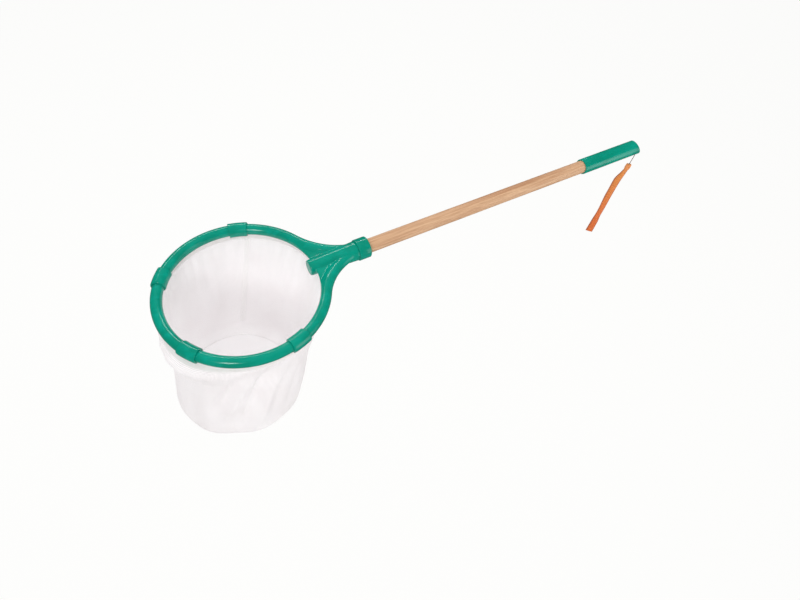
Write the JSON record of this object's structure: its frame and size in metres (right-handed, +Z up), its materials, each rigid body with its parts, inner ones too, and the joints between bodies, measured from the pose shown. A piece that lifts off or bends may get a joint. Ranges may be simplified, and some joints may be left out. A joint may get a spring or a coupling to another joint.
{
  "type": "butterfly net",
  "caption": "Hand net with a round plastic hoop, a forked socket, a wooden handle with a plastic grip, a ribbon wrist strap and a deep cloth bag.",
  "frame": {"origin": "on the handle's axis at the middle of the grip, where a hand holds it", "axes": "+X along the handle from the hoop towards the grip's end, +Z up with the bag hanging below the hoop, +Y towards the back"},
  "size_m": [0.7784, 0.2146, 0.2077],
  "materials": {
    "green_plastic": "smooth moulded, glossy",
    "pine": "turned and lightly varnished",
    "screw_steel": "plain",
    "dark_thread": "twisted thread",
    "orange_ribbon": "woven ribbon",
    "white_mesh": "fine soft mesh",
    "white_tape": "woven tape",
    "white_cord": "braided cord"
  },
  "bodies": {
    "net": {"yoke": "green_plastic", "hoop_tube_back": "green_plastic", "hoop_tube_tip": "green_plastic", "hoop_tube_front": "green_plastic", "hoop_sleeve_back": "green_plastic", "hoop_sleeve_back_tip": "green_plastic", "hoop_sleeve_front_tip": "green_plastic", "hoop_sleeve_front": "green_plastic", "socket_collar": "green_plastic", "socket_screw": "screw_steel", "handle_dowel": "pine", "grip": "green_plastic", "grip_screw": "screw_steel", "strap_anchor_knot": "dark_thread", "bag_wall": "white_mesh", "bag_base": "white_mesh", "bag_base_seam": "white_tape", "bag_side_seam": "white_tape", "hem_tape": "white_tape", "hem_cord": "white_cord"},
    "strap_thread": {"strap_thread": "dark_thread"},
    "wrist_strap": {"strap_ribbon": "orange_ribbon", "strap_keeper": "orange_ribbon"}
  },
  "joints": [
    {"name": "strap_swing", "type": "hinge", "parent": "net", "child": "strap_thread", "pos_m": [0.052, -0.00877, -0.00877], "axis": [0, 1, 0], "range_deg": [-85, 58]},
    {"name": "ribbon_sway", "type": "hinge", "parent": "strap_thread", "child": "wrist_strap", "pos_m": [0.04958, -0.00877, -0.02559], "axis": [1, 0, 0], "range_deg": [-60, 60]}
  ]
}
